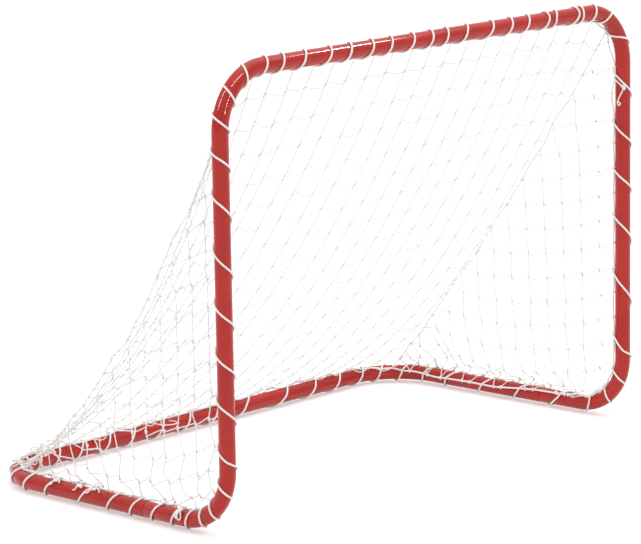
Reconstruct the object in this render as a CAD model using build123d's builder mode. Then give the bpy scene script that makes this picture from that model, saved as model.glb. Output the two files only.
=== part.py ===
"""Hockey goal: a two-part bent steel tube frame with a laced-on cord net.

Millimetres, +Z up. The origin is on the floor under the middle of the goal.
+X runs along the crossbar to the right post, and +Y from the mouth to the rear bar.
"""

import os
from math import acos, cos, degrees, radians, sin, sqrt

from build123d import *

os.makedirs("parts", exist_ok=True)

# Goal size, between tube centrelines
goal_width = 1188.0
goal_height = 846.0
goal_depth = 650.0

# Steel tube and its bends, each radius at the centreline
tube_outside = 31.75
tube_wall = 1.2
top_bend = 113.0
foot_bend = 110.0
rear_bend = 125.0

# Slip joint in each floor rail, where the rear base plugs into the front frame
joint_setback = 212.0
joint_gap = 0.5
edge_round = 0.4
spigot_length = 50.0
spigot_clearance = 0.35
spigot_wall = 1.2
spigot_lead = 1.0
neck_length = 12.0

# Snap button under each slip joint
button_setback = 25.0
button_diameter = 6.0
button_hole_clearance = 0.25
button_proud = 2.0
button_round = 1.2
flange_diameter = 9.0
flange_thickness = 1.0
fit_gap = 0.3

# V spring behind each button
spring_width = 8.0
spring_thickness = 0.6
spring_length = 34.0
spring_fold_height = 4.0

# Border rope, seam cords and lacing
rope_diameter = 4.0
seam_diameter = 3.0
lacing_diameter = 4.0
cord_gap = 0.7
floor_play = 0.8
crossbar_pitch = 50.0
post_pitch = 85.0
left_rail_pitch = 46.0
right_rail_pitch = 80.0
rear_pitch = 65.0
corner_pitch = 60.0
lacing_space = 8.0

# Net
net_band = 2.2
net_seam_gap = 3.0
knot_diameter = 10.0
tail_diameter = 3.6
tail_length = 16.0
post_knot_z = 690.0
front_knot_turn = -1.2
rear_knot_turns = (-3.2, -2.2, -1.2)

# Worked out from the sizes above
tube_radius = tube_outside / 2
tube_bore = tube_radius - tube_wall
spigot_radius = tube_bore - spigot_clearance
spigot_bore = spigot_radius - spigot_wall
rail_height = tube_radius + cord_gap + lacing_diameter + floor_play
post_x = goal_width / 2
front_y = -goal_depth / 2
rear_y = goal_depth / 2
top_z = rail_height + goal_height
joint_y = front_y + joint_setback
button_y = joint_y - button_setback

# The border rope lies beside the tube, as far inwards as it is back or up
rope_reach = tube_radius + cord_gap + rope_diameter / 2
rope_inset = rope_reach / sqrt(2)
rope_x = post_x - rope_inset
rope_front_y = front_y + rope_inset
rope_rear_y = rear_y - rope_inset
rope_low_z = rail_height + rope_inset
rope_top_z = top_z - rope_inset

# The net starts behind the lacing that holds the rope
net_inset = rope_diameter / 2 + lacing_diameter + 2 * cord_gap
net_front_y = rope_front_y + net_inset
net_low_z = rope_low_z + net_inset


def save(part, name):
    """Label a finished piece and write its file."""
    part.label = name
    export_step(part, f"parts/{name}.step")


# Centrelines
with BuildLine() as front_line:
    FilletPolyline(
        (-post_x, joint_y - joint_gap / 2, rail_height),
        (-post_x, front_y, rail_height),
        (-post_x, front_y, top_z),
        (post_x, front_y, top_z),
        (post_x, front_y, rail_height),
        (post_x, joint_y - joint_gap / 2, rail_height),
        radius=(foot_bend, top_bend, top_bend, foot_bend),
    )

with BuildLine() as base_line:
    FilletPolyline(
        (-post_x, joint_y + joint_gap / 2 + neck_length, rail_height),
        (-post_x, rear_y, rail_height),
        (post_x, rear_y, rail_height),
        (post_x, joint_y + joint_gap / 2 + neck_length, rail_height),
        radius=(rear_bend, rear_bend),
    )

with BuildLine() as mouth_rope_line:
    FilletPolyline(
        (-rope_x, joint_y - cord_gap / 2, rope_low_z),
        (-rope_x, rope_front_y, rope_low_z),
        (-rope_x, rope_front_y, rope_top_z),
        (rope_x, rope_front_y, rope_top_z),
        (rope_x, rope_front_y, rope_low_z),
        (rope_x, joint_y - cord_gap / 2, rope_low_z),
        radius=(
            foot_bend - rope_inset,
            top_bend - rope_inset,
            top_bend - rope_inset,
            foot_bend - rope_inset,
        ),
    )

with BuildLine() as base_rope_line:
    FilletPolyline(
        (-rope_x, joint_y + cord_gap / 2, rope_low_z),
        (-rope_x, rope_rear_y, rope_low_z),
        (rope_x, rope_rear_y, rope_low_z),
        (rope_x, joint_y + cord_gap / 2, rope_low_z),
        radius=(rear_bend - rope_inset, rear_bend - rope_inset),
    )


# Front frame: posts, crossbar and the front halves of the floor rails
with BuildPart() as front_frame:
    with BuildSketch(Plane(origin=front_line.line @ 0, z_dir=front_line.line % 0)):
        Circle(tube_radius)
        Circle(tube_bore, mode=Mode.SUBTRACT)
    sweep(path=front_line.line)
    rail_ends = front_frame.edges().filter_by_position(
        Axis.Y, joint_y - joint_gap, joint_y, inclusive=(True, True)
    )
    fillet(rail_ends.group_by(SortBy.RADIUS)[-1], edge_round)
    with BuildSketch(Plane.XY.offset(rail_height)):
        with Locations((-post_x, button_y), (post_x, button_y)):
            Circle(button_diameter / 2 + button_hole_clearance)
    extrude(amount=-tube_outside, mode=Mode.SUBTRACT)
save(front_frame.part, "front_frame")

# Rear base: the rear bar and rails, with a reduced spigot on each end
shoulder = joint_y + joint_gap / 2
neck_rear = shoulder + neck_length
spigot_tip = joint_y - spigot_length
with BuildPart() as rear_base:
    with BuildSketch(Plane(origin=base_line.line @ 0, z_dir=base_line.line % 0)):
        Circle(tube_radius)
        Circle(tube_bore, mode=Mode.SUBTRACT)
    sweep(path=base_line.line)
    for side in (-1, 1):
        with BuildSketch(Plane(origin=(side * post_x, 0, rail_height))):
            with BuildLine():
                Polyline(
                    (tube_bore, neck_rear),
                    (tube_radius, neck_rear),
                    (tube_radius, shoulder + edge_round),
                    (tube_radius - edge_round, shoulder),
                    (spigot_radius, shoulder),
                    (spigot_radius, spigot_tip + spigot_lead),
                    (spigot_radius - spigot_lead, spigot_tip),
                    (spigot_bore, spigot_tip),
                    (spigot_bore, shoulder),
                    close=True,
                )
            make_face()
        revolve(axis=Axis((side * post_x, 0, rail_height), (0, 1, 0)))
    with BuildSketch(Plane.XY.offset(rail_height)):
        with Locations((-post_x, button_y), (post_x, button_y)):
            Circle(button_diameter / 2 + button_hole_clearance)
    extrude(amount=-tube_outside, mode=Mode.SUBTRACT)
save(rear_base.part, "rear_base")

# Snap buttons: a flanged pin that stands out through both holes, underneath
flange_half = flange_diameter / 2
flange_low = rail_height - sqrt(spigot_bore**2 - flange_half**2) + fit_gap
button_low = rail_height - tube_radius - button_proud
spring_low = flange_low + flange_thickness + fit_gap
spring_half = spring_width / 2
spring_mid = spring_thickness / 2
spring_high = rail_height + sqrt(spigot_bore**2 - spring_half**2) - fit_gap
for name, side in (("left", -1), ("right", 1)):
    with BuildPart() as snap_button:
        with BuildSketch(Plane.XY.offset(flange_low)):
            with Locations((side * post_x, button_y)):
                Circle(flange_half)
        extrude(amount=flange_thickness)
        with BuildSketch(Plane.XY.offset(button_low)):
            with Locations((side * post_x, button_y)):
                Circle(button_diameter / 2)
        extrude(amount=flange_low - button_low)
        fillet(snap_button.edges().sort_by(Axis.Z)[0], button_round)
    save(snap_button.part, f"{name}_snap_button")

    # V spring: one leaf holds the button out, the other bears on the top of the bore
    with BuildPart() as button_spring:
        with BuildSketch(Plane.YZ.offset(side * post_x - spring_half)):
            with BuildLine():
                FilletPolyline(
                    (button_y - flange_half, spring_low + spring_mid),
                    (button_y + flange_half, spring_low + spring_mid),
                    (button_y + spring_length, rail_height - spring_fold_height),
                    (button_y - flange_half, spring_high - spring_mid),
                    radius=(spring_width / 2, spring_fold_height / 2),
                )
            trace(line_width=spring_thickness)
        extrude(amount=spring_width)
    save(button_spring.part, f"{name}_button_spring")


# Border rope, in two lengths that meet at the slip joints
for name, line in (("mouth_border_rope", mouth_rope_line), ("base_border_rope", base_rope_line)):
    with BuildPart() as border_rope:
        with BuildSketch(Plane(origin=line.line @ 0, z_dir=line.line % 0)):
            Circle(rope_diameter / 2)
        sweep(path=line.line)
    save(border_rope.part, name)


# Lacing: a cord wound left-handed round the tube and the rope beside it.
# Each turn has a tight corner over the rope and even corners round the tube.
lacing_reach = tube_radius + cord_gap + lacing_diameter / 2
over_rope = rope_diameter / 2 + cord_gap + lacing_diameter / 2
tube_corners = 5
corner_softness = 0.9
lean = degrees(acos((lacing_reach - over_rope) / rope_reach))
corner_step = (360 - 2 * lean) / tube_corners
turn_corners = [(0.0, lacing_reach / cos(radians(lean)), over_rope)]
for corner in range(tube_corners):
    turn_corners.append(
        (
            lean + (corner + 0.5) * corner_step,
            lacing_reach / cos(radians(corner_step / 2)),
            corner_softness * lacing_reach,
        )
    )


def lacing(name, tube_line, rope_line, start, end, pitch, anchor):
    """Write a cord wound on one stretch of tube, over the rope at the anchor length."""
    points = []
    radii = []
    turn = int((start - anchor) / pitch) - 1
    while anchor + turn * pitch < end:
        for angle, distance, radius in turn_corners:
            length = anchor + (turn + angle / 360) * pitch
            if start <= length <= end:
                centre = tube_line.position_at(length, position_mode=PositionMode.LENGTH)
                along = tube_line.tangent_at(length, position_mode=PositionMode.LENGTH)
                on_rope = rope_line.closest_points(Vertex(centre))[0]
                over = (on_rope - centre).normalized()
                beside = over.cross(along)
                around = over * cos(radians(angle)) + beside * sin(radians(angle))
                points.append(centre + around * distance)
                radii.append(radius)
        turn += 1
    with BuildPart() as cord:
        with BuildLine() as route:
            FilletPolyline(*points, radius=radii[1:-1])
        with BuildSketch(Plane(origin=route.line @ 0, z_dir=route.line % 0)):
            Circle(lacing_diameter / 2)
        sweep(path=route.line)
    save(cord.part, name)


# Lengths along the front frame's centreline
bend_length = radians(90)
stub_length = joint_setback - foot_bend - joint_gap / 2
post_start = stub_length
post_end = stub_length + foot_bend * bend_length + goal_height - foot_bend - top_bend
bar_end = post_end + 2 * top_bend * bend_length + goal_width - 2 * top_bend
front_length = front_line.wire().length
button_length = joint_y - joint_gap / 2 - button_y
half_space = lacing_space / 2

front = front_line.wire()
mouth_rope = mouth_rope_line.wire()
lacing(
    "crossbar_lacing",
    front,
    mouth_rope,
    post_end + half_space,
    bar_end - half_space,
    crossbar_pitch,
    front_length / 2,
)
lacing(
    "left_post_lacing",
    front,
    mouth_rope,
    post_start + half_space,
    post_end - half_space,
    post_pitch,
    post_end,
)
lacing(
    "right_post_lacing",
    front,
    mouth_rope,
    bar_end + half_space,
    front_length - post_start - half_space,
    post_pitch,
    bar_end,
)

# The rail lacing crosses the slip joint, so it follows a rail line of its own
rail_length = goal_depth - foot_bend - rear_bend
for name, side, pitch in (("left", -1, left_rail_pitch), ("right", 1, right_rail_pitch)):
    rail_start = (side * post_x, front_y + foot_bend, rail_height)
    rail_end = (side * post_x, rear_y - rear_bend, rail_height)
    rope_start = (side * rope_x, front_y + foot_bend, rope_low_z)
    rope_end = (side * rope_x, rear_y - rear_bend, rope_low_z)
    if side > 0:
        rail_start, rail_end = rail_end, rail_start
        button_at = rear_y - rear_bend - button_y
    else:
        button_at = button_y - front_y - foot_bend
    rail = Edge.make_line(rail_start, rail_end)
    rope = Edge.make_line(rope_start, rope_end)
    lacing(
        f"{name}_rail_lacing",
        rail,
        rope,
        half_space,
        rail_length - half_space,
        pitch,
        button_at,
    )

# Lengths along the rear base's centreline
base = base_line.wire()
base_rope = base_rope_line.wire()
base_length = base.length
corner_length = rear_bend * bend_length
corner_start = rear_y - rear_bend - (joint_y + joint_gap / 2 + neck_length)
corner_end = corner_start + corner_length
bar_length = goal_width - 2 * rear_bend
lacing(
    "left_corner_lacing",
    base,
    base_rope,
    corner_start + half_space,
    corner_end - half_space,
    corner_pitch,
    (corner_start + corner_end + corner_pitch) / 2,
)
lacing(
    "rear_bar_lacing",
    base,
    base_rope,
    corner_end + half_space,
    corner_end + bar_length - half_space,
    rear_pitch,
    base_length / 2,
)
lacing(
    "right_corner_lacing",
    base,
    base_rope,
    corner_end + bar_length + half_space,
    base_length - corner_start - half_space,
    corner_pitch,
    base_length - (corner_start + corner_end + corner_pitch) / 2,
)


# Net: straight lines of mesh from the mouth to the base, bent round the corners
def bend_point(centre, radius, angle):
    """A point on a left-hand bend, turned from the post or rail side towards the middle."""
    turn = radians(angle)
    return (-centre[0] - radius * cos(turn), centre[1] + radius * sin(turn))


def bend_points(centre, radius, first, last):
    """The two ends and the middle of a stretch of a bend."""
    return [bend_point(centre, radius, angle) for angle in (first, (first + last) / 2, last)]


def band(outer, inner):
    """A closed outline from an outer line and the inner line beside it."""
    return outer + inner[::-1]


top_centre = (post_x - top_bend, top_z - top_bend)
rear_centre = (post_x - rear_bend, rear_y - rear_bend)
top_net = top_bend - rope_inset
rear_net = rear_bend - rope_inset
top_seam_turn = degrees(net_seam_gap / top_net)
rear_seam_turn = degrees(net_seam_gap / rear_net)
seam_angle = 45.0


def net_outlines(first_top, last_top, first_rear, last_rear):
    """The left half of a panel's outline at the mouth and at the floor."""
    top = [
        bend_points(top_centre, top_net - inset, first_top, last_top)
        for inset in (0, net_band)
    ]
    rear = [
        bend_points(rear_centre, rear_net - inset, first_rear, last_rear)
        for inset in (0, net_band)
    ]
    return top, rear


mouth_plane = Plane(origin=(0, net_front_y, 0), x_dir=(1, 0, 0), z_dir=(0, -1, 0))
floor_plane = Plane.XY.offset(net_low_z)

# Back panel, from seam to seam
top_half, rear_half = net_outlines(
    seam_angle + top_seam_turn, 90, seam_angle + rear_seam_turn, 90
)
top_whole = [half + [(-x, z) for x, z in half[::-1]] for half in top_half]
rear_whole = [half + [(-x, y) for x, y in half[::-1]] for half in rear_half]
with BuildPart() as net_back:
    with BuildSketch(mouth_plane):
        with BuildLine():
            Polyline(*band(*top_whole), close=True)
        make_face()
    with BuildSketch(floor_plane):
        with BuildLine():
            Polyline(*band(*rear_whole), close=True)
        make_face()
    loft(ruled=True)
save(net_back.part, "net_back")

# Side panel: a flat triangle on the post and rail, and a strip that turns to the seam
top_side, rear_side = net_outlines(0, seam_angle - top_seam_turn, 0, seam_angle - rear_seam_turn)
foot_round = foot_bend - rope_inset - net_inset
with BuildPart() as net_left_side:
    with BuildSketch(mouth_plane):
        with BuildLine():
            Polyline(*band(*top_side), close=True)
        make_face()
    with BuildSketch(floor_plane):
        with BuildLine():
            Polyline(*band(*rear_side), close=True)
        make_face()
    loft(ruled=True)
    with BuildSketch(Plane.YZ.offset(-rope_x)):
        with BuildLine():
            FilletPolyline(
                (net_front_y, top_centre[1]),
                (net_front_y, net_low_z),
                (rear_centre[1], net_low_z),
                radius=(foot_round,),
            )
            Line((rear_centre[1], net_low_z), (net_front_y, top_centre[1]))
        make_face()
    extrude(amount=net_band)
save(net_left_side.part, "net_left_side")

with BuildPart() as net_right_side:
    mirror(net_left_side.part, about=Plane.YZ)
save(net_right_side.part, "net_right_side")

# Seam cords, from the top corners to the rear corners
seam_top = bend_point(top_centre, top_net, seam_angle)
seam_rear = bend_point(rear_centre, rear_net, seam_angle)
for name, side in (("left", -1), ("right", 1)):
    seam_start = Vector(-side * seam_top[0], net_front_y, seam_top[1])
    seam_end = Vector(-side * seam_rear[0], seam_rear[1], net_low_z)
    with BuildPart() as seam_cord:
        with BuildSketch(Plane(origin=seam_start, z_dir=seam_end - seam_start)):
            Circle(seam_diameter / 2)
        extrude(amount=(seam_end - seam_start).length)
    save(seam_cord.part, f"{name}_seam_cord")


# Knots that tie off the lacing, each with a cut tail along the tube
def knots(name, places):
    """Write a group of knots; each place is a point beside the tube and a tail direction."""
    with BuildPart() as group:
        for place, direction in places:
            with Locations(place):
                Sphere(knot_diameter / 2)
            with BuildSketch(Plane(origin=place, z_dir=direction)):
                Circle(tail_diameter / 2)
            extrude(amount=tail_length)
    save(group.part, name)


knot_reach = tube_radius + cord_gap + knot_diameter / 2
knot_side = knot_reach / sqrt(2)
knots(
    "post_knot",
    [((post_x - knot_side, front_y - knot_side, post_knot_z), (0, 0, -1))],
)

# The left rail's knots lie between turns: one ahead of the button, the others before the corner
last_turn = (rear_y - rear_bend - button_y) // left_rail_pitch
rail_knot_turns = [front_knot_turn] + [last_turn + turn for turn in rear_knot_turns]
knots(
    "rail_knots",
    [
        ((-post_x - knot_side, button_y + turn * left_rail_pitch, rail_height + knot_side), (0, 1, 0))
        for turn in rail_knot_turns
    ],
)
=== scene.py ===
"""A street hockey goal: bent steel tube frame, plug-in rear base and a knotted twine net laced on.

Metres throughout, with +X towards the right post, +Y towards the rear bar and +Z up.
"""

import math

import bmesh
import bpy
import numpy as np
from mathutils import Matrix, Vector


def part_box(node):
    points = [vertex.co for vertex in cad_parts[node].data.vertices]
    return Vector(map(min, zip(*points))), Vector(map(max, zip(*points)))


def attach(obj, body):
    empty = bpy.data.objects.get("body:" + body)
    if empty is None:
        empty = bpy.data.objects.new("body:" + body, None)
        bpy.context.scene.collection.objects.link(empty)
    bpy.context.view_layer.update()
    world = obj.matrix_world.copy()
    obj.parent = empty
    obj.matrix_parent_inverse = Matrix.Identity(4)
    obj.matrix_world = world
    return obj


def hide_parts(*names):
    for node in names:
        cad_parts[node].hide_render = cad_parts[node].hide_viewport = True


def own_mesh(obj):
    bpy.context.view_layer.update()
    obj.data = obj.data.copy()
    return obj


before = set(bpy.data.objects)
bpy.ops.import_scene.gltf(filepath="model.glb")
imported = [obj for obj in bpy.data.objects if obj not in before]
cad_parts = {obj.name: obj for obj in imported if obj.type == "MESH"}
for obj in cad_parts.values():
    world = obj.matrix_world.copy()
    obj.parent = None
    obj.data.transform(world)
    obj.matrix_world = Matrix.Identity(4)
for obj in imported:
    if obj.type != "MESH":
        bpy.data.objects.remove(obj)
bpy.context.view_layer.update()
bpy.ops.object.select_all(action="DESELECT")


# Front frame. One length of 32 mm steel tube, bent four times so that it lies along the floor,
# stands up as the left post, crosses the top and comes down again as the right post. It is
# cut square at both slip joints and painted a glossy red after bending.
tube_radius = 0.015875
tube_wall = 0.0012
foot_bend = 0.110
top_bend = 0.113
bend_facets = 24
cut_edge = 0.0003
button_setback = 0.02475
button_hole = 0.00325
front_low, front_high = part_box("front_frame")
rear_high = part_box("rear_base")[1]
post_x = front_high.x - tube_radius
front_y = front_low.y + tube_radius
rear_y = rear_high.y - tube_radius
joint_y = front_high.y
rail_z = front_low.z + tube_radius
top_z = front_high.z - tube_radius
button_y = joint_y - button_setback


def start_tube(name, place, radius):
    """Lay down a ring of tube across a floor rail, ready to be drawn out in edit mode."""
    bpy.ops.mesh.primitive_circle_add(
        vertices=64, radius=radius, location=place, rotation=(math.pi / 2, 0, 0)
    )
    tube = bpy.context.object
    tube.name = name
    bpy.ops.object.transform_apply(location=True, rotation=True, scale=True)
    bpy.ops.object.mode_set(mode="EDIT")
    bpy.ops.mesh.select_all(action="SELECT")
    return tube


def draw(x=0.0, y=0.0, z=0.0):
    """Draw the open end of the tube out in a straight line."""
    bpy.ops.mesh.extrude_region_move(TRANSFORM_OT_translate={"value": (x, y, z)})


def bend(centre, axis):
    """Draw the open end round a quarter turn."""
    bpy.ops.mesh.spin(steps=bend_facets, angle=math.pi / 2, center=centre, axis=axis)


def give_wall(tube, thickness):
    """Turn the drawn skin into a wall, then break the sharp edges of its cut ends."""
    bpy.ops.mesh.select_all(action="SELECT")
    bpy.ops.mesh.remove_doubles(threshold=1e-6)
    bpy.ops.mesh.normals_make_consistent(inside=False)
    bpy.ops.object.mode_set(mode="OBJECT")
    wall = tube.modifiers.new("wall", "SOLIDIFY")
    wall.thickness = thickness
    wall.offset = -1
    bpy.ops.object.modifier_apply(modifier="wall")
    edge = tube.modifiers.new("edge", "BEVEL")
    edge.width = cut_edge
    edge.segments = 2
    edge.limit_method = "ANGLE"
    edge.angle_limit = math.radians(50)
    bpy.ops.object.modifier_apply(modifier="edge")


def drill_button_holes(tube):
    """Drill the hole under each slip joint that the snap button stands through."""
    for side in (-1, 1):
        bpy.ops.object.select_all(action="DESELECT")
        bpy.ops.mesh.primitive_cylinder_add(
            vertices=32,
            radius=button_hole,
            depth=tube_radius,
            location=(side * post_x, button_y, rail_z - tube_radius),
        )
        drill = bpy.context.object
        bpy.context.view_layer.objects.active = tube
        hole = tube.modifiers.new("hole", "BOOLEAN")
        hole.object = drill
        bpy.ops.object.modifier_apply(modifier="hole")
        bpy.data.objects.remove(drill)
    bpy.ops.object.select_all(action="DESELECT")
    tube.select_set(True)
    bpy.ops.object.shade_smooth_by_angle(angle=math.radians(40))


def start_finish(name):
    """A new material and the tree of nodes that its look is built in."""
    finish = bpy.data.materials.new(name)
    finish.use_nodes = True
    return finish, finish.node_tree, finish.node_tree.nodes["Principled BSDF"].inputs


def mottle(tree, scale, detail, roughness=0.5):
    """An uneven pattern that keeps its place on the piece."""
    place = tree.nodes.new("ShaderNodeTexCoord")
    noise = tree.nodes.new("ShaderNodeTexNoise")
    noise.inputs["Scale"].default_value = scale
    noise.inputs["Detail"].default_value = detail
    noise.inputs["Roughness"].default_value = roughness
    tree.links.new(place.outputs["Object"], noise.inputs["Vector"])
    return noise.outputs["Fac"]


def tint(tree, pattern, tones, ends=(0, 1)):
    """Colour the surface from one tone to another as the pattern runs between its two ends."""
    colour = tree.nodes.new("ShaderNodeValToRGB")
    for n in (0, 1):
        colour.color_ramp.elements[n].position = ends[n]
        colour.color_ramp.elements[n].color = (*tones[n], 1)
    tree.links.new(pattern, colour.inputs["Fac"])
    tree.links.new(colour.outputs["Color"], tree.nodes["Principled BSDF"].inputs["Base Color"])


def dull(tree, pattern, roughness, ends=(0, 1)):
    """Take the surface from one roughness to another as the pattern runs between its two ends."""
    gloss = tree.nodes.new("ShaderNodeMapRange")
    gloss.inputs["From Min"].default_value = ends[0]
    gloss.inputs["From Max"].default_value = ends[1]
    gloss.inputs["To Min"].default_value = roughness[0]
    gloss.inputs["To Max"].default_value = roughness[1]
    tree.links.new(pattern, gloss.inputs["Value"])
    tree.links.new(gloss.outputs["Result"], tree.nodes["Principled BSDF"].inputs["Roughness"])


def emboss(tree, pattern, strength, depth):
    """Raise and sink the surface by the pattern."""
    bump = tree.nodes.new("ShaderNodeBump")
    bump.inputs["Strength"].default_value = strength
    bump.inputs["Distance"].default_value = depth
    tree.links.new(pattern, bump.inputs["Height"])
    tree.links.new(bump.outputs["Normal"], tree.nodes["Principled BSDF"].inputs["Normal"])


def red_paint():
    """Glossy red enamel: slow changes of tone, small dull rubs and faint orange peel."""
    paint, tree, shader = start_finish("red_paint")
    shader["Coat Weight"].default_value = 0.6
    shader["Coat Roughness"].default_value = 0.04
    shader["Specular IOR Level"].default_value = 0.06
    tint(tree, mottle(tree, 9, 4), ((0.41, 0.010, 0.006), (0.53, 0.021, 0.012)), ends=(0.3, 0.75))
    dull(tree, mottle(tree, 140, 8, 0.7), (0.2, 0.3), ends=(0.4, 0.75))
    emboss(tree, mottle(tree, 300, 2), 0.05, 0.0001)
    return paint


paint = red_paint()
front_tube = start_tube("front_tube", (-post_x, joint_y, rail_z), tube_radius)
draw(y=front_y + foot_bend - joint_y)
bend((-post_x, front_y + foot_bend, rail_z + foot_bend), (1, 0, 0))
draw(z=top_z - top_bend - rail_z - foot_bend)
bend((-post_x + top_bend, front_y, top_z - top_bend), (0, -1, 0))
draw(x=2 * (post_x - top_bend))
bend((post_x - top_bend, front_y, top_z - top_bend), (0, -1, 0))
draw(z=rail_z + foot_bend - top_z + top_bend)
bend((post_x, front_y + foot_bend, rail_z + foot_bend), (-1, 0, 0))
draw(y=joint_y - front_y - foot_bend)
give_wall(front_tube, tube_wall)
drill_button_holes(front_tube)
front_tube.data.materials.append(paint)
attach(front_tube, "goal")
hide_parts("front_frame")


# Rear base. A second length of the same tube: the rear bar with a rail at each end. Each rail
# end is swaged down to a spigot that pushes into the front frame, so only a thin line shows.
rear_bend = 0.125
joint_gap = 0.0015
spigot_length = 0.050
spigot_clearance = 0.00035
spigot_radius = tube_radius - tube_wall - spigot_clearance
spigot_lead = 0.001
shoulder_round = 0.0007


def step_to(radius_now, radius_next, place, y=0.0):
    """Draw the open end out and squeeze it to another radius about the rail's middle."""
    draw(y=y)
    share = radius_next / radius_now
    bpy.ops.transform.resize(value=(share, 1, share), center_override=place)


shoulder_y = joint_y + joint_gap
tip_y = joint_y - spigot_length
left_end = (-post_x, shoulder_y, rail_z)
right_end = (post_x, shoulder_y, rail_z)
tip_radius = spigot_radius - spigot_lead
round_radius = tube_radius - shoulder_round
rear_tube = start_tube("rear_tube", (-post_x, tip_y, rail_z), tip_radius)
step_to(tip_radius, spigot_radius, left_end, y=spigot_lead)
draw(y=shoulder_y - tip_y - spigot_lead)
step_to(spigot_radius, round_radius, left_end)
step_to(round_radius, tube_radius, left_end, y=shoulder_round)
draw(y=rear_y - rear_bend - shoulder_y - shoulder_round)
bend((-post_x + rear_bend, rear_y - rear_bend, rail_z), (0, 0, 1))
draw(x=2 * (post_x - rear_bend))
bend((post_x - rear_bend, rear_y - rear_bend, rail_z), (0, 0, 1))
draw(y=shoulder_y + shoulder_round - rear_y + rear_bend)
step_to(tube_radius, round_radius, right_end, y=-shoulder_round)
step_to(round_radius, spigot_radius, right_end)
draw(y=tip_y + spigot_lead - shoulder_y)
step_to(spigot_radius, tip_radius, right_end, y=-spigot_lead)
give_wall(rear_tube, tube_wall)
drill_button_holes(rear_tube)
rear_tube.data.materials.append(paint)
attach(rear_tube, "goal")
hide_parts("rear_base")


# Snap buttons. A zinc-plated pin with a flange sits in each spigot and stands out through the
# hole under the rail. Pressed in, it lets the rear base slide out of the front frame.
def bright_steel():
    """Zinc plate: pale grey metal with a fine grain and a faint bloom."""
    steel, tree, shader = start_finish("bright_steel")
    shader["Metallic"].default_value = 1
    grain = mottle(tree, 900, 5)
    tint(tree, grain, ((0.50, 0.50, 0.52), (0.72, 0.72, 0.71)))
    dull(tree, grain, (0.22, 0.45))
    return steel


steel = bright_steel()
for side in ("left", "right"):
    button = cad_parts[f"{side}_snap_button"]
    button.data.materials.clear()
    button.data.materials.append(steel)


# Button springs. A strip of spring steel is folded into a V inside each spigot. Its lower leaf
# bears on the button's flange and its upper leaf on the top of the bore, so it flattens as the
# button is pressed in.
spring_wide = 0.008
spring_thick = 0.0006
spring_foot = 0.009
fold_drop = 0.004
# How far back and up each corner of the strip lies from the fold, then from the upper leaf's end
fold_corners = ((-0.004, -0.0013), (-0.001, -0.0008), (0, 0), (-0.001, 0.0009), (-0.004, 0.0022))
upper_corners = ((0.010, -0.0045), (0.004, -0.0012), (0.002, -0.0001), (0.0003, -0.0004))
for side, name in ((-1, "left"), (1, "right")):
    low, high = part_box(f"{name}_button_spring")
    leaf_low = low.z + spring_thick / 2
    leaf_high = high.z - spring_thick / 2
    fold_y = high.y - spring_thick
    fold_z = rail_z - fold_drop
    bpy.ops.object.select_all(action="DESELECT")
    bpy.ops.mesh.primitive_plane_add(
        size=1, location=(side * post_x, low.y + spring_foot / 2, leaf_low)
    )
    leaf = bpy.context.object
    leaf.name = f"{name}_v_spring"
    leaf.dimensions = (spring_wide, spring_foot, 0)
    bpy.ops.object.transform_apply(location=True, rotation=True, scale=True)
    bpy.ops.object.mode_set(mode="EDIT")
    bpy.ops.mesh.select_all(action="DESELECT")
    shape = bmesh.from_edit_mesh(leaf.data)
    back_edge = max(shape.edges, key=lambda edge: edge.verts[0].co.y + edge.verts[1].co.y)
    back_edge.select = True
    shape.select_mode = {"EDGE"}
    shape.select_flush_mode()
    bmesh.update_edit_mesh(leaf.data)
    corners = [(fold_y + back, fold_z + up) for back, up in fold_corners]
    corners += [(low.y + back, leaf_high + up) for back, up in upper_corners]
    y, z = low.y + spring_foot, leaf_low
    for next_y, next_z in corners:
        draw(y=next_y - y, z=next_z - z)
        y, z = next_y, next_z
    bpy.ops.object.mode_set(mode="OBJECT")
    thick = leaf.modifiers.new("thick", "SOLIDIFY")
    thick.thickness = spring_thick
    thick.offset = 0
    bpy.ops.object.modifier_apply(modifier="thick")
    soft_edge = leaf.modifiers.new("soft_edge", "BEVEL")
    soft_edge.width = 0.0001
    soft_edge.angle_limit = math.radians(60)
    bpy.ops.object.modifier_apply(modifier="soft_edge")
    bpy.ops.object.shade_smooth_by_angle(angle=math.radians(40))
    leaf.data.materials.append(steel)
    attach(leaf, "goal")
    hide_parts(f"{name}_button_spring")
    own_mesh(leaf)


# The goal's own line. The lacing and the border rope follow the tube all the way round, so its
# centreline is walked once, from a mark on the left rail forwards, noting which way the rope lies.
def unit(vector):
    """The same direction with a length of one."""
    return vector / np.linalg.norm(vector, axis=-1, keepdims=True)


# Each bend's centre, the way out from it to the bend's start and to its end, the side on which
# the rope lies, and its radius
tube_bends = (
    ((-post_x, front_y + foot_bend, rail_z + foot_bend), (0, 0, -1), (0, -1, 0), (1, 0, 0), foot_bend),
    ((-post_x + top_bend, front_y, top_z - top_bend), (-1, 0, 0), (0, 0, 1), (0, 1, 0), top_bend),
    ((post_x - top_bend, front_y, top_z - top_bend), (0, 0, 1), (1, 0, 0), (0, 1, 0), top_bend),
    ((post_x, front_y + foot_bend, rail_z + foot_bend), (0, -1, 0), (0, 0, -1), (-1, 0, 0), foot_bend),
    ((post_x - rear_bend, rear_y - rear_bend, rail_z), (1, 0, 0), (0, 1, 0), (0, 0, 1), rear_bend),
    ((-post_x + rear_bend, rear_y - rear_bend, rail_z), (0, 1, 0), (-1, 0, 0), (0, 0, 1), rear_bend),
)
bend_places = bend_facets + 1
mark_setback = 0.255
mark_y = front_y + mark_setback
line_places = [np.array((-post_x, mark_y, rail_z))]
line_along = [np.array((0.0, -1.0, 0.0))]
line_over = [unit(np.array((1.0, 0.0, 1.0)))]
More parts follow.
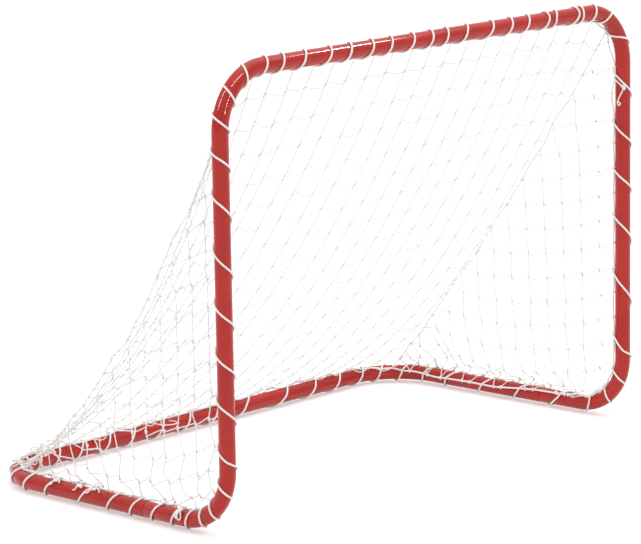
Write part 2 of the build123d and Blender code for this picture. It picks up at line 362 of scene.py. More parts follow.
for centre, first, last, beside, radius in tube_bends:
    for turn in np.linspace(0, math.pi / 2, bend_places):
        outward = np.array(first) * math.cos(turn) + np.array(last) * math.sin(turn)
        onward = np.array(last) * math.cos(turn) - np.array(first) * math.sin(turn)
        line_places.append(np.array(centre) + radius * outward)
        line_along.append(onward)
        line_over.append(unit(np.array(beside) - outward))
line_places = np.array(line_places + line_places[:1])
line_along = np.array(line_along + line_along[:1])
line_over = np.array(line_over + line_over[:1])
line_lengths = np.append(0, np.cumsum(np.linalg.norm(np.diff(line_places, axis=0), axis=1)))
loop_length = line_lengths[-1]
bend_starts = line_lengths[1:-1:bend_places]
bend_ends = line_lengths[bend_places::bend_places]


def tube_at(lengths):
    """The tube's middle, its direction and the rope's direction at lengths round the goal."""
    wrapped = np.mod(lengths, loop_length)
    found = []
    for values in (line_places, line_along, line_over):
        found.append(np.stack([np.interp(wrapped, line_lengths, v) for v in values.T], axis=-1))
    centre, along, over = found
    return centre, unit(along), unit(over)


# Border rope. A 4 mm white braided rope threads the net's edge meshes and lies on the inner side
# of the tube. The lacing pins it at every turn, and between turns the net pulls it a little way off.
rope_radius = 0.002
lacing_radius = 0.002
rope_reach = tube_radius + rope_radius
left_joint = mark_y - joint_y
right_joint = bend_ends[3] + joint_y - front_y - foot_bend

# Where the lacing's turns sit on the outer, forward side of the tube: for each run of tube, the
# share of a turn from the rope to that side, then each turn's millimetres round from the mark
seen_turns = (
    (0.67, (16, 73, 126, 161)),
    (0.60, (197,)),
    (0.56, (229, 283)),
    (0.51, (337, 432, 518, 609, 706, 814, 898, 963)),
    (0.50, (1015, 1066)),
    (0.42, (1116, 1160, 1218, 1289, 1344, 1406, 1459, 1523, 1578, 1622, 1679, 1758)),
    (0.42, (1817, 1869, 1933, 1955, 2029, 2042, 2084)),
    (0.35, (2127,)),
    (0.27, (2191,)),
    (0.24, (2298, 2405, 2499, 2598, 2726, 2861, 2921)),
    (0.19, (2970,)),
    (0.13, (3019,)),
    (0.08, (3104, 3211, 3309, 3411, 3478, 3540, 3596, 3648, 3725, 3803, 3894, 4019)),
    (0.08, (4108, 4190, 4268, 4352, 4421, 4498, 4560)),
    (0.35, (4625,)),
    (0.67, (4690, 4738, 4789, 4850, 4950, 5025)),
)
turn_places = []
turn_counts = []
for share, places in seen_turns:
    for place in places:
        turn_counts.append(len(turn_counts) + share)
        turn_places.append(place / 1000)
whole_turns = len(turn_places)
turn_places = np.array([turn_places[-1] - loop_length] + turn_places + [turn_places[0] + loop_length])
turn_counts = np.array([turn_counts[-1] - whole_turns] + turn_counts + [turn_counts[0] + whole_turns])
# The cord steps aside for the right snap button where it passes under that rail
right_button = bend_ends[3] + button_y - front_y - foot_bend
button_step = 0.012
under_rail = 3 / 8
next_turn = np.searchsorted(turn_places, right_button)
turn_places = np.insert(turn_places, next_turn, right_button + button_step)
turn_counts = np.insert(turn_counts, next_turn, np.floor(turn_counts[next_turn - 1]) + under_rail)
rng = np.random.default_rng(11)
rope_bows = rng.uniform(0.35, 1.0, whole_turns + 2)
rope_swings = rng.uniform(-1.0, 1.0, whole_turns + 2)
bow_share = 0.085
swing_share = 0.05
longest_gap = 0.1


def turns_at(lengths):
    """How many turns the lacing has made by these lengths; it is over the rope at whole turns."""
    return np.interp(np.mod(lengths, loop_length), turn_places, turn_counts)


# How far the rope has rolled round the tube towards the inside of the goal, in degrees
lean_lengths = (0, 0.14, 0.28, 2.10, 2.19, 2.23, 2.26, 2.30, 2.34, 3.05, 3.18, 3.29, 3.46, 3.54, 3.66)
lean_degrees = (-36, -26, 0, 0, 18, 28, 14, 24, 0, -6, 6, 34, 36, 22, -20)
lean_lengths += (3.76, 4.25, 4.36, 4.50, 4.60, 5.06)
lean_degrees += (-38, -38, -28, -20, -34, -36)
# How slack it hangs between turns: tight down the posts, loose at the right top bend
slack_lengths = (0, 0.24, 0.34, 2.10, 2.18, 2.28, 2.36, 2.90, 3.05, 5.06)
slack_shares = (1, 1.2, 0.35, 0.4, 1.6, 1.6, 0.35, 0.4, 1, 1)


def rope_lean(lengths):
    """The rope's place round the tube, in radians from the line half inwards and half back."""
    return np.radians(np.interp(np.mod(lengths, loop_length), lean_lengths, lean_degrees))


def rope_at(lengths):
    """The middle of the border rope beside these lengths of the tube."""
    centre, along, over = tube_at(lengths)
    beside = np.cross(over, along)
    lean = rope_lean(lengths)[..., None]
    outward = over * np.cos(lean) + beside * np.sin(lean)
    aside = beside * np.cos(lean) - over * np.sin(lean)
    turns = turns_at(lengths)
    gap = np.mod(np.floor(turns), whole_turns).astype(int)
    gap_start, gap_end = (np.interp(np.floor(turns) + n, turn_counts, turn_places) for n in (0, 1))
    slack = np.sin(math.pi * np.mod(turns, 1)) ** 2 * np.clip(gap_end - gap_start, 0, longest_gap)
    slack *= np.interp(np.mod(lengths, loop_length), slack_lengths, slack_shares)
    away = rope_reach + bow_share * slack * rope_bows[gap]
    swing = swing_share * slack * rope_swings[gap]
    return centre + outward * away[..., None] + aside * swing[..., None]


def cord(name, routes, thickness, roundness=2):
    """Make one piece of cord, or of many like lengths; each route is evenly spaced points."""
    curve = bpy.data.curves.new(name, "CURVE")
    curve.dimensions = "3D"
    curve.bevel_depth = thickness / 2
    curve.bevel_resolution = roundness
    curve.use_fill_caps = True
    total = 0
    for route in routes:
        spline = curve.splines.new("POLY")
        spline.points.add(len(route) - 1)
        spline.points.foreach_set("co", np.column_stack((route, np.ones(len(route)))).ravel())
        spline.use_smooth = True
        total += np.linalg.norm(np.diff(route, axis=0), axis=1).sum()
    piece = bpy.data.objects.new(name, curve)
    bpy.context.scene.collection.objects.link(piece)
    bpy.ops.object.select_all(action="DESELECT")
    piece.select_set(True)
    bpy.context.view_layer.objects.active = piece
    bpy.ops.object.convert(target="MESH")
    piece = bpy.context.view_layer.objects.active
    bpy.ops.object.mode_set(mode="EDIT")
    bpy.ops.mesh.select_all(action="SELECT")
    bpy.ops.mesh.remove_doubles(threshold=1e-7)
    bpy.ops.object.mode_set(mode="OBJECT")
    stretch = np.empty(len(piece.data.loops) * 2)
    weave = piece.data.uv_layers[0].data
    weave.foreach_get("uv", stretch)
    stretch[0::2] *= total / len(routes)
    weave.foreach_set("uv", stretch)
    bpy.ops.object.shade_smooth_by_angle(angle=math.radians(60))
    return piece


def even(route, spacing):
    """The same route with its points evenly spaced."""
    run = np.append(0, np.cumsum(np.linalg.norm(np.diff(route, axis=0), axis=1)))
    stops = np.linspace(0, run[-1], max(2, int(round(run[-1] / spacing)) + 1))
    return np.stack([np.interp(stops, run, values) for values in route.T], axis=-1)


def reckon(tree, operation, *values):
    """A step of arithmetic on numbers and on the outputs of other nodes."""
    sum_node = tree.nodes.new("ShaderNodeMath")
    sum_node.operation = operation
    for socket, value in zip(sum_node.inputs, values):
        if isinstance(value, bpy.types.NodeSocket):
            tree.links.new(value, socket)
        else:
            socket.default_value = value
    return sum_node.outputs[0]


def white_cord(name, pale, soiled_and_groove_shaded, lay, strands):
    """White cord: plaited strands in relief with painted shade in their grooves, uneven whiteness and a
    soft dry surface.

    The plait repeats every lay along the cord and has so many strands round it each way.
    """
    finish, tree, shader = start_finish(name)
    shader["Roughness"].default_value = 0.8
    shader["Sheen Weight"].default_value = 0.25
    shader["Sheen Roughness"].default_value = 0.5
    shader["Specular IOR Level"].default_value = 0.3

    place = tree.nodes.new("ShaderNodeTexCoord")
    along_and_round = tree.nodes.new("ShaderNodeSeparateXYZ")
    tree.links.new(place.outputs["UV"], along_and_round.inputs["Vector"])
    along, around = along_and_round.outputs["X"], along_and_round.outputs["Y"]
    ridges = []
    for way in (1, -1):
        turn = reckon(tree, "MULTIPLY", around, way * 2 * math.pi * strands)
        phase = reckon(tree, "MULTIPLY_ADD", along, 2 * math.pi / lay, turn)
        ridges.append(reckon(tree, "SINE", phase))
    plait = reckon(tree, "MAXIMUM", *ridges)
    # Painted shade: the plait's grooves take the darker tone and its crowns the paler one, on top of the
    # uneven soiling from the mottle.
    shade = reckon(tree, "MULTIPLY_ADD", plait, 0.12, mottle(tree, 35, 6))
    tint(tree, shade, (soiled_and_groove_shaded, pale), ends=(0.25, 0.7))
    emboss(tree, plait, 0.5, 0.0003)
    return finish


rope_white = white_cord("rope_white", (0.94, 0.93, 0.91), (0.83, 0.82, 0.79), 0.006, 4)
rope_gap = 0.0002
rope_spacing = 0.004
for name, node, first, last in (
    ("mouth_rope", "mouth_border_rope", left_joint + rope_gap, right_joint - rope_gap),
    ("base_rope", "base_border_rope", right_joint + rope_gap, loop_length + left_joint - rope_gap),
):
    route = rope_at(np.arange(first, last, rope_spacing / 2))
    rope = cord(name, [even(route, rope_spacing)], 2 * rope_radius, roundness=3)
    rope.data.materials.append(rope_white)
    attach(rope, "goal")
    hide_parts(node)


# Net. Three panels of white knotted twine, a back that slopes from the crossbar to the rear bar and
# a triangle at each side. Each is hung here strand by strand and falls under its own weight.
twine = 0.0023
mesh_parts = 3
left_seam_top = bend_starts[1]
right_seam_top = (bend_starts[2] + bend_ends[2]) / 2
right_seam_foot = (bend_starts[4] + bend_ends[4]) / 2
left_seam_foot = (bend_starts[5] + 3 * bend_ends[5]) / 4
seam_ends = {-1: (left_seam_top, left_seam_foot), 1: (right_seam_top, right_seam_foot)}
seam_sags = {-1: 0.080, 1: 0.048}
seam_bows = {-1: 0.0, 1: 0.015}
seam_cord = 0.003
seam_reach = (seam_cord + twine) / 2
kink_size = 0.0018
kink_shares = np.linspace(0, 1, 20)
rng = np.random.default_rng(17)
seam_kinks = {side: rng.normal(0, kink_size, (len(kink_shares), 3)) for side in (-1, 1)}
for kinks in seam_kinks.values():
    kinks[[0, -1]] = 0
net_white = white_cord("net_white", (0.94, 0.94, 0.93), (0.84, 0.84, 0.82), 0.004, 1)

# The tube as a few straight lengths, close enough to keep the twine out of it
coarse_lengths = [np.linspace(first, last, 7) for first, last in zip(bend_starts, bend_ends)]
coarse_places = tube_at(np.concatenate(coarse_lengths))[0]
coarse_runs = np.roll(coarse_places, -1, axis=0) - coarse_places


def seam_at(side, shares):
    """Points of a seam at shares of its way down: it hangs below a straight line and bows inwards."""
    shares = np.asarray(shares, float)
    top, foot = (rope_at(np.array([end]))[0] for end in seam_ends[side])
    fall = 4 * shares * (1 - shares)
    straight = top + (foot - top) * shares[..., None]
    straight += fall[..., None] * np.array((-side * seam_bows[side], 0, -seam_sags[side]))
    kinks = [np.interp(shares, kink_shares, kink) for kink in seam_kinks[side].T]
    return straight + np.stack(kinks, axis=-1)


def keep_clear(points, loose):
    """Push loose points of twine out of the tube and up off the floor."""
    offset = points[:, None] - coarse_places
    share = (offset * coarse_runs).sum(-1) / (coarse_runs**2).sum(-1)
    offset -= np.clip(share, 0, 1)[..., None] * coarse_runs
    gaps = np.linalg.norm(offset, axis=-1)
    nearest = gaps.argmin(axis=1)
    rows = np.arange(len(points))
    gap = gaps[rows, nearest]
    push = np.maximum(tube_radius + twine / 2 - gap, 0) * loose
    points += offset[rows, nearest] / gap[:, None] * push[:, None]
    points[:, 2] = np.where(loose > 0, np.maximum(points[:, 2], twine / 2), points[:, 2])


part_curl = 0.0025
hang_steps = 420
speed_kept = 0.93
fall_per_step = 2.5e-5
pulls_per_step = 10
stiff_share = 0.93
stiff_push = 0.5
clear_every = 5


def hang(knots, held, families, seed):
    """Let a panel fall under its own weight and come to rest.

    Each family of strands is a list of (knots in order, length of each side). A side is a few
    parts long. Parts keep their length, and the twine's stiffness keeps it from folding sharply.
    """
    random = np.random.default_rng(seed)
    points = [knots]
    count = len(knots)
    chains = []
    links = []
    stiffeners = []
    for family in families:
        family_chains = []
        for strand, sides in family:
            start, end = knots[strand[:-1]], knots[strand[1:]]
            chain = np.empty(len(sides) * mesh_parts + 1, int)
            chain[::mesh_parts] = strand
            for part in range(1, mesh_parts):
                between = start + (end - start) * part / mesh_parts
                points.append(between + random.normal(0, part_curl, between.shape))
                chain[part::mesh_parts] = np.arange(count, count + len(between))
                count += len(between)
            family_chains.append((chain, np.repeat(np.asarray(sides) / mesh_parts, mesh_parts)))
        for phase in (0, 1):
            links.append(
                [
                    np.concatenate([chain[phase:-1:2] for chain, spans in family_chains]),
                    np.concatenate([chain[phase + 1 :: 2] for chain, spans in family_chains]),
                    np.concatenate([spans[phase::2] for chain, spans in family_chains]),
                ]
            )
        for phases in ((0, 1), (2, 3)):
            firsts = []
            lasts = []
            reaches = []
            for chain, spans in family_chains:
                at = np.arange(len(chain) - 2)
                at = at[np.isin(at % 4, phases)]
                firsts.append(chain[at])
                lasts.append(chain[at + 2])
                reaches.append(stiff_share * (spans[at] + spans[at + 1]))
            stiffeners.append([np.concatenate(v) for v in (firsts, lasts, reaches)])
        chains.append([chain for chain, spans in family_chains])
    points = np.concatenate(points)
    loose = np.ones(count)
    loose[: len(knots)] = ~held
    previous = points.copy()
    for step in range(hang_steps):
        onward = points + speed_kept * (points - previous) * loose[:, None]
        onward[:, 2] -= fall_per_step * loose
        previous, points = points, onward
        for _ in range(pulls_per_step):
            for pairs in (links, stiffeners):
                for first, last, span in pairs:
                    gap = points[last] - points[first]
                    length = np.linalg.norm(gap, axis=1)
                    shift = (length - span) / length
                    if pairs is stiffeners:
                        shift = stiff_push * np.minimum(shift, 0)
                    shift /= np.maximum(loose[first] + loose[last], 1)
                    gap *= shift[:, None]
                    points[first] += gap * loose[first][:, None]
                    points[last] -= gap * loose[last][:, None]
        if step % clear_every == 0:
            keep_clear(points, loose)
    keep_clear(points, loose)
    return [[points[chain] for chain in family] for family in chains]


def smooth(route):
    """Twice as many points, on a curve through the ones given."""
    ends = np.concatenate((2 * route[:1] - route[1:2], route, 2 * route[-1:] - route[-2:-1]))
    middles = (9 * (ends[1:-2] + ends[2:-1]) - ends[:-3] - ends[3:]) / 16
    full = np.empty((2 * len(route) - 1, 3))
    full[::2] = route
    full[1::2] = middles
    return full


def ring(centre, along, reach):
    """One turn of twine round a rope."""
    aside = unit(np.cross(along, (0.3, 0.2, 1.0)))
    upward = np.cross(along, aside)
    turns = np.linspace(0, 2 * math.pi, 10)[:, None]
    lean = along * 0.5 * twine * (turns / math.pi - 1)
    return centre + reach * (aside * np.cos(turns) + upward * np.sin(turns)) + lean


def knot(centre, along, thickness):
    """A knot drawn tight, drawn out a little along the strand that runs through it."""
    aside = unit(np.cross(along, (0.31, 0.17, 0.94)))
    outward = np.cross(along, aside)
    turns = np.linspace(0, 2 * math.pi, 15)[:, None]
    size = 0.38 * thickness
    return centre + size * (
        1.55 * along * (np.sin(turns) + 2 * np.sin(2 * turns))
        + aside * (np.cos(turns) - 2 * np.cos(2 * turns))
        - 1.1 * outward * np.sin(3 * turns)
    )


knot_step = 0.005


def knit(name, node, columns, rows, rope_ends, upward, seed):
    """Draw a hung panel: its long strands, the short ones between them, knots and border loops."""
    random = np.random.default_rng(seed)
    long_routes = [smooth(chain) for chain in columns]
    short_routes = []
    knot_routes = []
    for chain in rows:
        route = smooth(chain)
        steps = knot_step * random.uniform(0.1, 1.9, len(chain) // mesh_parts + 1)
        steps[0] = steps[-1] = 0
        for side in range(len(chain) // mesh_parts):
            first = 2 * mesh_parts * side
            part = route[first : first + 2 * mesh_parts + 1].copy()
            fade = np.linspace(1, 0, len(part))[:, None]
            part += upward * (steps[side] * fade**1.5 - steps[side + 1] * fade[::-1] ** 1.5)
            short_routes.append(part)
            if side:
                knot_routes.append(knot(route[first], upward, twine))
    rings = [ring(place, along, reach) for place, along, reach in rope_ends]
    parts = [
        cord(name, long_routes, twine, roundness=1),
        cord("short_strands", short_routes, twine, roundness=1),
        cord("net_knots", knot_routes, twine * 0.9, roundness=0),
        cord("net_loops", rings, twine, roundness=0),
    ]
    bpy.ops.object.select_all(action="DESELECT")
    for part in parts:
        part.select_set(True)
    panel = parts[0]
    bpy.context.view_layer.objects.active = panel
    bpy.ops.object.join()
    panel.data.materials.append(net_white)
    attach(panel, "goal")
    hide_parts(node)


# Back panel, 22 meshes wide and 19 deep. Its foot is bunched up in the left rear corner, and the
# slack sides of its last meshes droop over the front of the rear bar.
back_wide = 22
back_deep = 19
back_hang = 0.07
first_mesh = 0.045
mesh_height = 0.057
bunched_row = 12
bunched_column = 12
row_reaches = np.append(0, first_mesh + mesh_height * np.arange(back_deep))
shares_down = row_reaches / row_reaches[-1]
shares_across = np.linspace(0, 1, back_wide + 1)
foot_shares = np.interp(shares_across, (0, 0.27, 0.5, 1), (0, 0.12, 0.43, 1))
top_lengths = left_seam_top + shares_across * (right_seam_top - left_seam_top)
foot_lengths = left_seam_foot + foot_shares * (right_seam_foot - left_seam_foot)
top_places = rope_at(top_lengths)
foot_places = rope_at(foot_lengths)
left_places = seam_at(-1, shares_down)
right_places = seam_at(1, shares_down)
down = shares_down[:, None, None]
across = shares_across[None, :, None]
grid = top_places[None] * (1 - down) + foot_places[None] * down
grid[..., 2] -= back_hang * (4 * down * (1 - down))[..., 0]
to_left_seam = (left_places - grid[:, 0])[:, None]
to_right_seam = (right_places - grid[:, -1])[:, None]
grid += (1 - across) * to_left_seam + across * to_right_seam
held = np.zeros(grid.shape[:2], bool)
held[[0, -1]] = True
held[:, [0, -1]] = True
numbers = np.arange(grid[..., 0].size).reshape(grid.shape[:2])
rng = np.random.default_rng(3)
columns = []
for column in range(1, back_wide):
    spans = np.linalg.norm(np.diff(grid[:, column], axis=0), axis=1)
    if 2 < column < bunched_column:
        short, long = (0.3, 0.5) if column % 2 else (1.0, 1.2)
        last_span = spans[-1] * rng.uniform(short, long)
        spans[:-1] *= 1 + (spans[-1] - last_span) / spans[:-1].sum()
        spans[-1] = last_span
    columns.append((numbers[:, column], spans * rng.uniform(0.996, 1.006, len(spans))))
rows = []
for row in range(1, len(row_reaches)):
    spans = np.linalg.norm(np.diff(grid[row], axis=0), axis=1)
    if row > bunched_row:
        spans[1:6] = np.maximum(spans[1:6], np.interp(row, (bunched_row, 16), (0.02, 0.04)))
    rows.append((numbers[row], spans * rng.uniform(0.995, 1.008, back_wide)))
drooping = rows[-1][1]
drooping *= rng.uniform(1.0, 1.08, back_wide)
drooping[2:bunched_column] *= rng.uniform(1.15, 1.7, bunched_column - 2)
hung_columns, hung_rows = hang(grid.reshape(-1, 3), held.ravel(), (columns, rows), 5)
rope_ends = []
for lengths in (top_lengths[1:-1], foot_lengths[1:-1]):
    places = rope_at(lengths)
    alongs = tube_at(lengths)[1]
    rope_ends += [(p, a, rope_radius + twine / 2) for p, a in zip(places, alongs)]
for places in (left_places, right_places):
    rope_ends += [(p, unit(b - a), seam_reach) for p, a, b in zip(places[1:-1], places[:-2], places[2:])]
back_upward = unit(np.array((0, front_y - rear_y, top_z - rail_z)))
knit("back_mesh", "net_back", hung_columns, hung_rows, rope_ends, back_upward, 7)


# Side panels, a triangle of the same twine cut on the slant and sewn to the back down the seam. Near
# the floor the left one is slack and pulled into uneven meshes. The lacing has caught the lowest
# meshes of the right one and drawn them over the top of its rail.
side_mesh = 0.0425
side_mesh_tall = 0.0525
narrow_mesh = 0.021
narrow_from = 0.13
low_rows = (0.018, 0.046, 0.092)
zigzag = 0.011
edge_room = 0.018
foot_slack = {-1: 0.036, 1: 0.0}
foot_pinch = {-1: 0.34, 1: 0.22}
pinch_height = 0.4
caught_from = -0.12
caught_degrees = (-78, -40)
border_points = 3000


def side_panel(side, seed):
    """Hang one side between its post, its rail and its seam."""
    random = np.random.default_rng(seed)
    seam_top, seam_foot = seam_ends[side]
    run = (side * (seam_foot - seam_top)) % loop_length
    lengths = seam_top + side * np.linspace(0, run, border_points)
    border = rope_at(lengths)
    alongs = tube_at(lengths)[1]
    top, foot = border[0], border[-1]
    turning = int(np.argmin(border[:, 1] + border[:, 2]))
    post = slice(turning, 0, -1)
    rail = slice(turning, None)
    floor_z = border[rail, 2].min()

    ys = []
    y = border[:, 1].min() + side_mesh
    while y < foot[1] - 0.006:
        ys.append(y)
        y += side_mesh if y < narrow_from else narrow_mesh
    ys = np.array(ys)
    lowest, second, third = (floor_z + height for height in low_rows)
    zs = np.concatenate(((lowest, second), np.arange(third, top[2] - 0.02, side_mesh_tall)))
    seam_z = np.interp(ys, (top[1], foot[1]), (top[2], foot[2]))
    seam_y = np.interp(-zs, (-top[2], -foot[2]), (top[1], foot[1]))
    hung_z = seam_at(side, (ys - top[1]) / (foot[1] - top[1]))

    knots = []
    held = []
    ends = []

    def add(place, fixed):
        knots.append(place)
        held.append(fixed)
        return len(knots) - 1

    def tie_to_border(part, axis, value):
        at = np.interp(value, border[part, axis], np.arange(border_points)[part])
        place = np.array([np.interp(at, np.arange(border_points), border[:, k]) for k in range(3)])
        ends.append((place, alongs[int(at)], rope_radius + twine / 2))
        return add(place, True), place

    def tie_to_seam(share):
        near = seam_at(side, np.array((share - 0.01, share, share + 0.01)))
        ends.append((near[1], unit(near[2] - near[0]), seam_reach))
        return add(near[1], True)

    grid = {}
    for k, y in enumerate(ys):
        for j, z in enumerate(zs):
            if z < seam_z[k] - edge_room:
                squeeze = (hung_z[k, 2] - floor_z) / (seam_z[k] - floor_z)
                lift = (z - floor_z) / (seam_z[k] - floor_z)
                place = np.array((border[turning, 0], y, floor_z + (z - floor_z) * squeeze))
                place[0] += (hung_z[k, 0] - place[0]) * lift
                grid[k, j] = add(place, False)
    if side > 0:
        for k, y in enumerate(ys):
            at = np.interp(y, border[rail, 1], np.arange(border_points)[rail])
            centre, along, over = (v[0] for v in tube_at(lengths[[int(at)]]))
            turn = math.radians(caught_degrees[k % 2] + random.uniform(-8, 8))
            outward = over * math.cos(turn) + np.cross(over, along) * math.sin(turn)
            knots[grid[k, 0]] = centre + outward * (tube_radius + twine)
            held[grid[k, 0]] = y > caught_from
    columns = []
    for k, y in enumerate(ys):
        start, place = tie_to_border(rail, 1, y + zigzag * (-1) ** k)
        inner = [grid[k, j] for j in range(len(zs)) if (k, j) in grid]
        end = tie_to_seam((y - top[1]) / (foot[1] - top[1]))
        stops = np.concatenate(([place[2]], zs[: len(inner)], [seam_z[k]]))
        sides = np.diff(stops) * random.uniform(0.99, 1.01, len(stops) - 1)
        sides[:3] = np.maximum(sides[:3], foot_slack[side])
        columns.append(([start, *inner, end], sides))
    rows = []
    for j, z in enumerate(zs):
        start, place = tie_to_border(post, 2, z)
        inner = [grid[k, j] for k in range(len(ys)) if (k, j) in grid]
        end = tie_to_seam((top[2] - z) / (top[2] - foot[2]))
        last_y = ys[len(inner) - 1] if inner else place[1]
        sides = [side_mesh] * len(inner) + [max(0.01, seam_y[j] - last_y)]
        sides[0] = (ys[0] if inner else seam_y[j]) - place[1]
        sides = np.array(sides) * random.uniform(1.0, 1.04, len(sides))
        pinch = foot_pinch[side] * max(0.0, 1 - z / pinch_height)
        sides *= 1 + pinch * (-1.0) ** (np.arange(len(sides)) + j)
        rows.append(([start, *inner, end], sides))
    hung_columns, hung_rows = hang(np.array(knots), np.array(held), (columns, rows), seed + 1)
    return hung_columns, hung_rows, ends


for side, name, node in ((-1, "left_mesh", "net_left_side"), (1, "right_mesh", "net_right_side")):
    hung_columns, hung_rows, ends = side_panel(side, 20 + side)
    knit(name, node, hung_columns, hung_rows, ends, np.array((0.0, 0.0, 1.0)), 40 + side)


# Seams. The edges of two panels lie side by side down each corner and a 3 mm white cord runs through
# both, knotted to the border rope at its two ends.
for side, name, node in ((-1, "left_seam", "left_seam_cord"), (1, "right_seam", "right_seam_cord")):
    route = seam_at(side, np.linspace(0, 1, 300))
    seam = cord(name, [even(route, 0.004)], seam_cord, roundness=2)
    seam.data.materials.append(rope_white)
    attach(seam, "goal")
    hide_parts(node)


# Lacing. One long 4 mm white cord winds left-handed round the tube and the border rope beside it,
# and so ties the net on. It was pulled up by hand, so no two turns are quite alike.
lacing_white = white_cord("lacing_white", (0.96, 0.95, 0.93), (0.87, 0.86, 0.83), 0.005, 4)
press = 0.0002
tube_wrap = tube_radius + lacing_radius - press
rope_wrap = rope_radius + lacing_radius - press
lift_angle = math.acos((tube_wrap - rope_wrap) / rope_reach)
rope_angle = math.atan2(
    rope_wrap * math.sin(lift_angle), rope_reach + rope_wrap * math.cos(lift_angle)
)
lacing_spacing = 0.003
lacing_sampling = 0.0004


def wrap_reach(angles):
    """How far out the lacing lies at angles from the rope: on it, then straight, then on the tube."""
    off = np.abs(np.mod(angles + math.pi, 2 * math.pi) - math.pi)
    on_rope = rope_reach * np.cos(off) + np.sqrt(
        np.maximum(rope_wrap**2 - (rope_reach * np.sin(off)) ** 2, 0)
    )
    straight = tube_wrap / np.cos(np.minimum(off, lift_angle) - lift_angle)
    return np.where(off < rope_angle, on_rope, np.where(off < lift_angle, straight, tube_wrap))


def lacing_at(lengths):
    """The middle of the lacing cord at lengths round the goal."""
    centre, along, over = tube_at(lengths)
    angles = 2 * math.pi * turns_at(lengths)
    beside = np.cross(over, along)
    around = over * np.cos(angles)[:, None] + beside * np.sin(angles)[:, None]
    return centre + around * wrap_reach(angles - rope_lean(lengths))[:, None]


lacing_stretches = (
    ("left_rail_lacing", bend_ends[5], loop_length + bend_starts[0]),
    ("left_post_lacing", bend_starts[0], bend_starts[1]),
    ("crossbar_lacing", bend_starts[1], bend_ends[2]),
    ("right_post_lacing", bend_ends[2], bend_ends[3]),
    ("right_rail_lacing", bend_ends[3], bend_starts[4]),
    ("right_corner_lacing", bend_starts[4], bend_ends[4]),
    ("rear_bar_lacing", bend_ends[4], bend_starts[5]),
    ("left_corner_lacing", bend_starts[5], bend_ends[5]),
)
for node, first, last in lacing_stretches:
    lengths = np.linspace(first, last, int((last - first) / lacing_sampling))
    route = even(lacing_at(lengths), lacing_spacing)
    laced = cord(node.replace("lacing", "lace"), [route], 2 * lacing_radius)
    laced.data.materials.append(lacing_white)
    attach(laced, "goal")
    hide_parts(node)


# Ties. Each length of lacing is knotted off round the rope and cut, which leaves short stiff tails.
# One on the right post is large, with a long tail, and one on the left rail has been tied in a bow.
tie_cord = 0.0028
knot_lift = 0.0025


def on_tube(length, *steps):
    """Points over the tube's skin near a length: how far along, degrees from the rope, how far out."""
    onward, degrees, lifts = np.array(steps).T
    centre, along, over = tube_at(length + onward)
    beside = np.cross(over, along)
    turn = np.radians(degrees)[:, None]
    outward = over * np.cos(turn) + beside * np.sin(turn)
    return centre + (tube_radius + tie_cord / 2 + lifts)[:, None] * outward


def tie(name, node, routes):
    """Make a group of ties from their routes."""
    tied = cord(name, [even(smooth(smooth(route)), 0.001) for route in routes], tie_cord)
    tied.data.materials.append(lacing_white)
    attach(tied, "goal")
    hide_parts(node)


def tie_knot(length, degrees, lift):
    """The lump of one tie."""
    place = on_tube(length, (0, degrees, lift))[0]
    return knot(place, tube_at(np.array([length]))[1][0], tie_cord)


def rope_grip(length):
    """One turn of a tie round the rope."""
    at = np.array([length])
    return ring(rope_at(at)[0], tube_at(at)[1][0], rope_radius + tie_cord / 2)


# Three small ties on the left rail, each with two tails of its own length, and the bow
rail_ties = []
tail_points = (
    ((-0.005, -80, 0.004), (-0.011, -98, 0.001), (-0.017, -104, 0.004)),
    ((0.007, -60, 0.004), (0.014, -72, 0.002), (0.020, -84, 0.005)),
)
for y, tail_length in ((0.130, 0.7), (0.066, 0.5), (0.025, 1.0)):
    at = (mark_y - y) % loop_length
    rail_ties.append(on_tube(at, (0.004, -30, 0.006), (0.002, -50, 0.0055), (0, -70, knot_lift)))
    rail_ties.append(tie_knot(at, -70, knot_lift))
    rail_ties.append(rope_grip(at))
    for points in tail_points:
        steps = [(onward * tail_length, degrees, lift) for onward, degrees, lift in points]
        rail_ties.append(on_tube(at, (0, -70, 0.003), *steps))
bow_y = -0.208
bow = (mark_y - bow_y) % loop_length
rail_ties.append(tie_knot(bow, -70, knot_lift))
rail_ties.append(rope_grip(bow))
for way, drop in ((1, 62), (-1, 50)):
    loop = ((0.006, 0.4, 0.003), (0.008, 0.9, 0.001), (0.004, 1.0, 0.003), (0.001, 0.6, 0.005))
    steps = [(onward * way, -68 - drop * share, lift) for onward, share, lift in loop]
    rail_ties.append(on_tube(bow, (0, -68, 0.003), *steps, (0, -70, 0.004)))
    tail = ((0.003 * way, -95, 0.006), (-0.001 * way, -125, 0.005))
    rail_ties.append(on_tube(bow, (0, -68, 0.003), *tail))
tie("rail_ties", "rail_knots", rail_ties)

# The large one on the right post, with its end curled back on itself
post_tie = 2.306
across_goal = np.array((1.0, 0.0, 0.0))
post_ties = [
    tie_knot(post_tie, 88, 0.005),
    knot(on_tube(post_tie, (-0.003, 80, 0.003))[0], across_goal, tie_cord),
    on_tube(post_tie, (0, 86, 0.004), (-0.006, 66, 0.004), (-0.012, 44, 0.003), (-0.018, 24, 0.006)),
    on_tube(
        post_tie,
        (0, 88, 0.004),
        (0.009, 78, 0.003),
        (0.020, 62, 0.002),
        (0.030, 50, 0.003),
        (0.036, 52, 0.003),
        (0.038, 62, 0.002),
        (0.033, 66, 0.002),
        (0.030, 56, 0.004),
    ),
]
tie("post_tie", "post_knot", post_ties)


# Studio. A plain pale floor under a pale sky and one large soft lamp overhead. Four narrow lamps
# show only as glints along the crossbar, the top bends and the left post.
floor_lift = 0.34


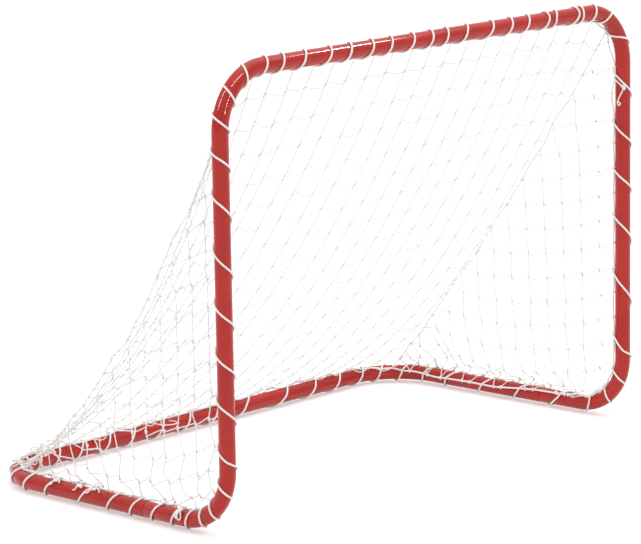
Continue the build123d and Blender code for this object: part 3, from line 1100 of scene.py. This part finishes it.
def plain_floor():
    """A matt white floor that looks white, takes soft shadows and can't be seen from below."""
    floor_paint, tree, shader = start_finish("studio_floor")
    nodes, links = tree.nodes, tree.links
    shader["Base Color"].default_value = (0.86, 0.86, 0.86, 1)
    shader["Roughness"].default_value = 0.9
    shader["Specular IOR Level"].default_value = 0.0
    ray = nodes.new("ShaderNodeLightPath").outputs
    looked_at = reckon(tree, "MAXIMUM", ray["Is Camera Ray"], ray["Is Glossy Ray"])
    looked_at = reckon(tree, "MAXIMUM", looked_at, ray["Is Transmission Ray"])
    glow = nodes.new("ShaderNodeEmission")
    links.new(reckon(tree, "MULTIPLY", looked_at, floor_lift), glow.inputs["Strength"])
    lit = nodes.new("ShaderNodeAddShader")
    links.new(nodes["Principled BSDF"].outputs[0], lit.inputs[0])
    links.new(glow.outputs[0], lit.inputs[1])
    two_sided = nodes.new("ShaderNodeMixShader")
    links.new(nodes.new("ShaderNodeNewGeometry").outputs["Backfacing"], two_sided.inputs[0])
    links.new(lit.outputs[0], two_sided.inputs[1])
    links.new(nodes.new("ShaderNodeBsdfTransparent").outputs[0], two_sided.inputs[2])
    links.new(two_sided.outputs[0], nodes["Material Output"].inputs["Surface"])
    return floor_paint


floor_size = 120
bpy.ops.mesh.primitive_plane_add(size=floor_size, location=(0, 0, 0))
floor = bpy.context.object
floor.name = "studio_floor"
floor.data.materials.append(plain_floor())

world = bpy.data.worlds.new("studio")
bpy.context.scene.world = world
world.use_nodes = True
nodes = world.node_tree.nodes
links = world.node_tree.links
way = nodes.new("ShaderNodeTexCoord")
height = nodes.new("ShaderNodeSeparateXYZ")
sky = nodes.new("ShaderNodeMapRange")
sky.inputs["From Max"].default_value = 0.8
sky.inputs["To Min"].default_value = 0.7
sky.inputs["To Max"].default_value = 1.1
links.new(way.outputs["Generated"], height.inputs["Vector"])
links.new(height.outputs["Z"], sky.inputs["Value"])
links.new(sky.outputs["Result"], nodes["Background"].inputs["Strength"])
nodes["Background"].inputs["Color"].default_value = (1, 1, 1, 1)


def softbox(name, place, target, width, height, power, lights_all=True):
    """A soft studio lamp aimed at a point; a strip lamp shows only as a glint on the paint."""
    bpy.ops.object.light_add(type="AREA", location=place)
    lamp = bpy.context.object
    lamp.name = name
    lamp.data.shape = "RECTANGLE"
    lamp.data.size = width
    lamp.data.size_y = height
    lamp.data.energy = power
    lamp.visible_diffuse = lights_all
    aim = Vector(place) - Vector(target)
    lamp.rotation_euler = aim.to_track_quat("Z", "Y").to_euler()


softbox("overhead", (0.3, -0.3, 3.2), (0, 0, 0.3), 3.0, 2.4, 17)
softbox("crossbar_light", (1.93, -0.9, 2.86), (-0.25, -0.325, 0.88), 0.5, 0.2, 16, False)
softbox("front_light", (-0.7, -1.8, 3.0), (-0.55, -0.33, 0.85), 1.3, 0.12, 29, False)
softbox("left_light", (-2.4, 0.5, 2.6), (-0.6, -0.33, 0.82), 0.12, 1.6, 36, False)
softbox("low_light", (-0.86, -2.83, 1.6), (-0.59, -0.33, 0.8), 0.1, 1.0, 20, False)

camera_azimuth = math.radians(-47.33)
camera_elevation = math.radians(11.21)
camera_roll = math.radians(-1.008)
camera_place = (-4.8246, -4.4648, 1.6723)
bpy.ops.object.camera_add(location=camera_place)
camera = bpy.context.object
camera.data.sensor_width = 36
camera.data.lens = 186.94
camera.data.clip_end = 200
camera.rotation_euler = (math.pi / 2 - camera_elevation, 0, camera_azimuth)
camera.rotation_euler.rotate_axis("Z", camera_roll)
bpy.context.scene.camera = camera
bpy.context.scene.view_settings.view_transform = "Standard"
